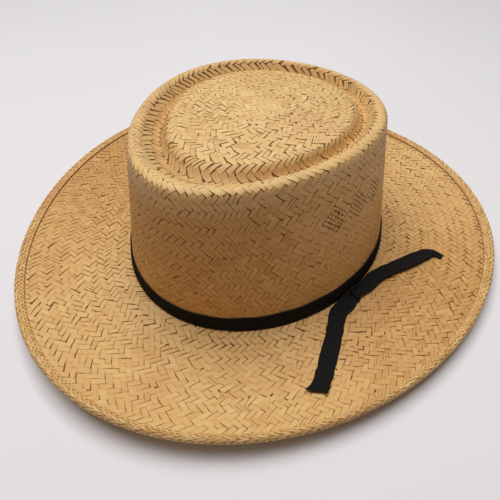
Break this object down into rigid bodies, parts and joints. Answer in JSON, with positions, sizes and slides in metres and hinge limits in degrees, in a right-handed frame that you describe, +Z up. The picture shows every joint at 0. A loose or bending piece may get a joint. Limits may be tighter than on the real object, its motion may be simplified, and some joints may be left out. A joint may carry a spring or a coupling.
{
  "type": "palm straw hat with a telescope crown and a ribbon",
  "caption": "Woven palm straw hat with an oval telescope crown, a wide dished brim with a folded hem, pierced air vents and a narrow black ribbon with two loose ends.",
  "frame": {"origin": "under the middle of the brim, on the surface that the hat lies on", "axes": "+Z up, the front of the hat towards -Y, the wearer's left towards +X"},
  "size_m": [0.3258, 0.3515, 0.1027],
  "materials": {
    "straw": "woven palm leaf, satin",
    "hem": "folded and stitched palm leaf, satin",
    "ribbon": "ribbed grosgrain, matt"
  },
  "bodies": {
    "root": {"hat_body": "straw", "brim_hem": "hem", "ribbon_band": "ribbon", "ribbon_tail_front": "ribbon", "ribbon_tail_back": "ribbon"}
  },
  "joints": []
}
